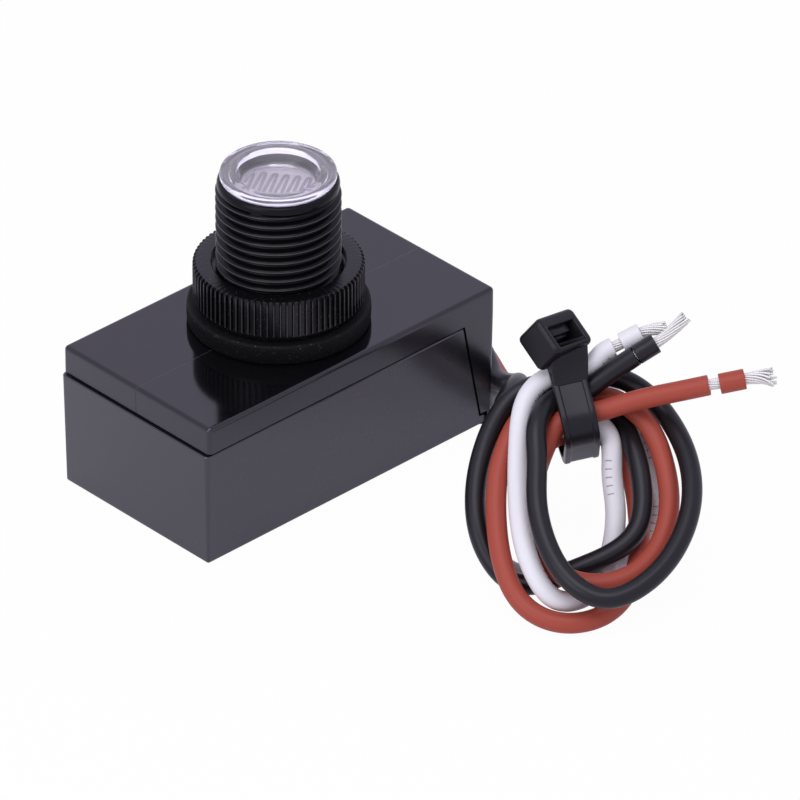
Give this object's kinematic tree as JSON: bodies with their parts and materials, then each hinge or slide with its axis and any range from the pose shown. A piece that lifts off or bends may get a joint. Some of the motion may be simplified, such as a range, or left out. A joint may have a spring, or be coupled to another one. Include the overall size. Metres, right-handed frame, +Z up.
{
  "type": "photocell switch",
  "caption": "Button photocell switch: a moulded box with a threaded stem, clear lens, knurled lock nut and sealing washer, and three tied leads with stripped ends.",
  "frame": {"origin": "middle of the housing's underside", "axes": "+Z up along the threaded stem, +X along the housing towards the end where the leads leave"},
  "size_m": [0.0633, 0.0822, 0.0447],
  "materials": {
    "housing": "gloss",
    "nut": "satin",
    "rubber": "matt",
    "clear": "clear moulded plastic",
    "ceramic": "pale ceramic",
    "board": "green laminate",
    "relay_blue": "satin",
    "film_red": "dipped resin",
    "sleeve": "sleeved can",
    "disc_blue": "dipped resin",
    "resistor_tan": "coated",
    "lead_black": "satin",
    "lead_white": "satin",
    "lead_red": "satin",
    "tinned": "tinned copper"
  },
  "bodies": {
    "housing": {"housing_cover": "housing", "housing_tray": "housing", "lens": "clear", "light_cell": "ceramic", "cell_leg_near": "tinned", "cell_leg_far": "tinned", "circuit_board": "board", "power_relay": "relay_blue", "film_capacitor": "film_red", "electrolytic_capacitor": "sleeve", "varistor": "disc_blue", "transistor": "nut", "rectifier_diode_1": "nut", "rectifier_diode_2": "nut", "rectifier_diode_3": "nut", "rectifier_diode_4": "nut", "zener_diode": "film_red", "resistor_1": "resistor_tan", "resistor_2": "resistor_tan", "resistor_3": "resistor_tan", "fusible_resistor": "resistor_tan", "black_lead": "lead_black", "black_slug": "lead_black", "black_strands": "tinned", "white_lead": "lead_white", "white_slug": "lead_white", "white_strands": "tinned", "red_lead": "lead_red", "red_slug": "lead_red", "red_strands": "tinned", "cable_tie": "nut"},
    "washer": {"sealing_washer": "rubber"},
    "nut": {"lock_nut": "nut"}
  },
  "joints": [
    {"name": "washer_slide", "type": "slide", "parent": "housing", "child": "washer", "axis": [0, 0, 1], "range_m": [0, 0.0099]},
    {"name": "nut_turn", "type": "hinge", "parent": "washer", "child": "nut", "pos_m": [0, 0, 0.027], "axis": [0, 0, 1], "range_deg": [0, 2520]}
  ],
  "couplings": [
    {"joint": "washer_slide", "follows": "nut_turn", "m_per_rad": 0.00022458}
  ]
}
